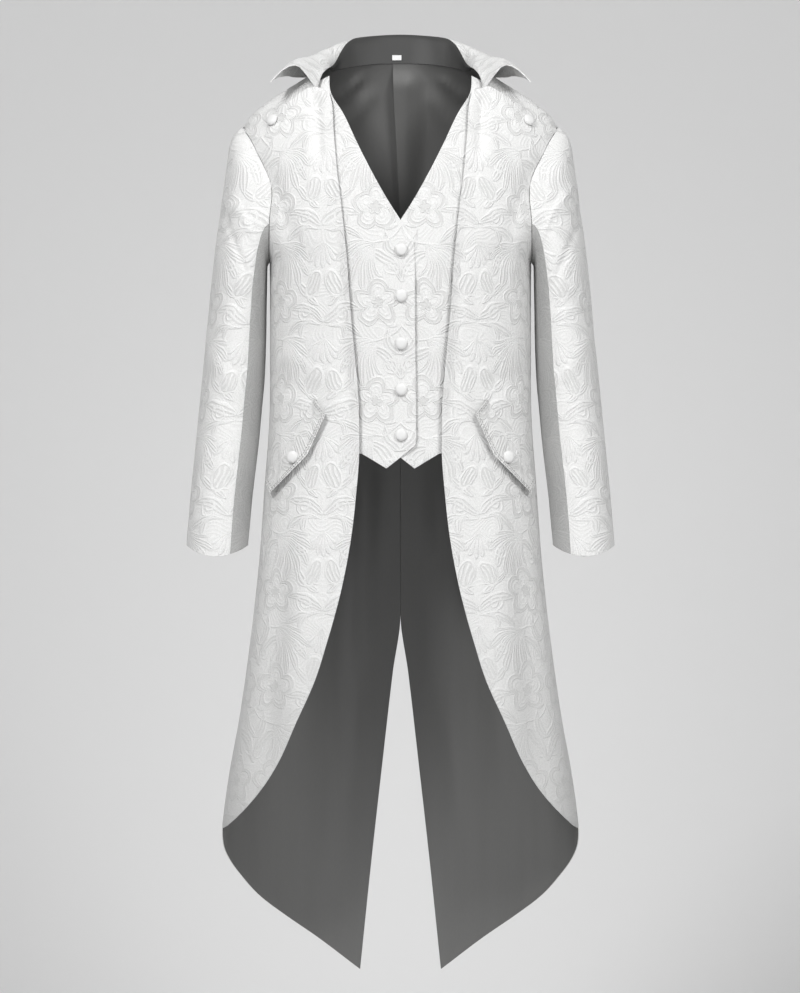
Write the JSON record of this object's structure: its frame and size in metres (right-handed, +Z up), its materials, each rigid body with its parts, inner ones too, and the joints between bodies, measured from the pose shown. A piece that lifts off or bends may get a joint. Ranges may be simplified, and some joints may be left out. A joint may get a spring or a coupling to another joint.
{
  "type": "tailcoat",
  "caption": "Tailcoat in its worn, hollow shape, with sewn-in waistcoat fronts, a turned-down collar, slanted pocket flaps and pointed tails.",
  "frame": {"origin": "between the neck points, in the middle, at the height where the coat's fronts begin, where the wearer's shoulders carry the coat", "axes": "+Z up, -Y to the coat's front, +X to the wearer's left"},
  "size_m": [0.597, 0.2793, 1.3341],
  "materials": {
    "brocade": "white floral brocade, tone on tone, with satin floats on a matt ground",
    "lining": "dark grey satin",
    "button": "white satin over a domed shell",
    "label": "white woven tape, blank"
  },
  "bodies": {
    "root": {"front_left": "brocade", "front_right": "brocade", "back_left": "brocade", "back_right": "brocade", "lining_back_left": "lining", "lining_back_right": "lining", "yoke_left": "brocade", "yoke_right": "brocade", "waistcoat_left": "brocade", "waistcoat_right": "brocade", "pocket_flap_left": "brocade", "pocket_flap_right": "brocade", "sleeve_top_left": "brocade", "sleeve_top_right": "brocade", "sleeve_under_left": "brocade", "sleeve_under_right": "brocade", "collar": "brocade", "collar_facing": "lining", "neck_label": "label", "button_shoulder_left": "button", "button_shoulder_right": "button", "button_flap_left": "button", "button_flap_right": "button", "button_waistcoat_1": "button", "button_waistcoat_2": "button", "button_waistcoat_3": "button", "button_waistcoat_4": "button", "button_waistcoat_5": "button"}
  },
  "joints": []
}
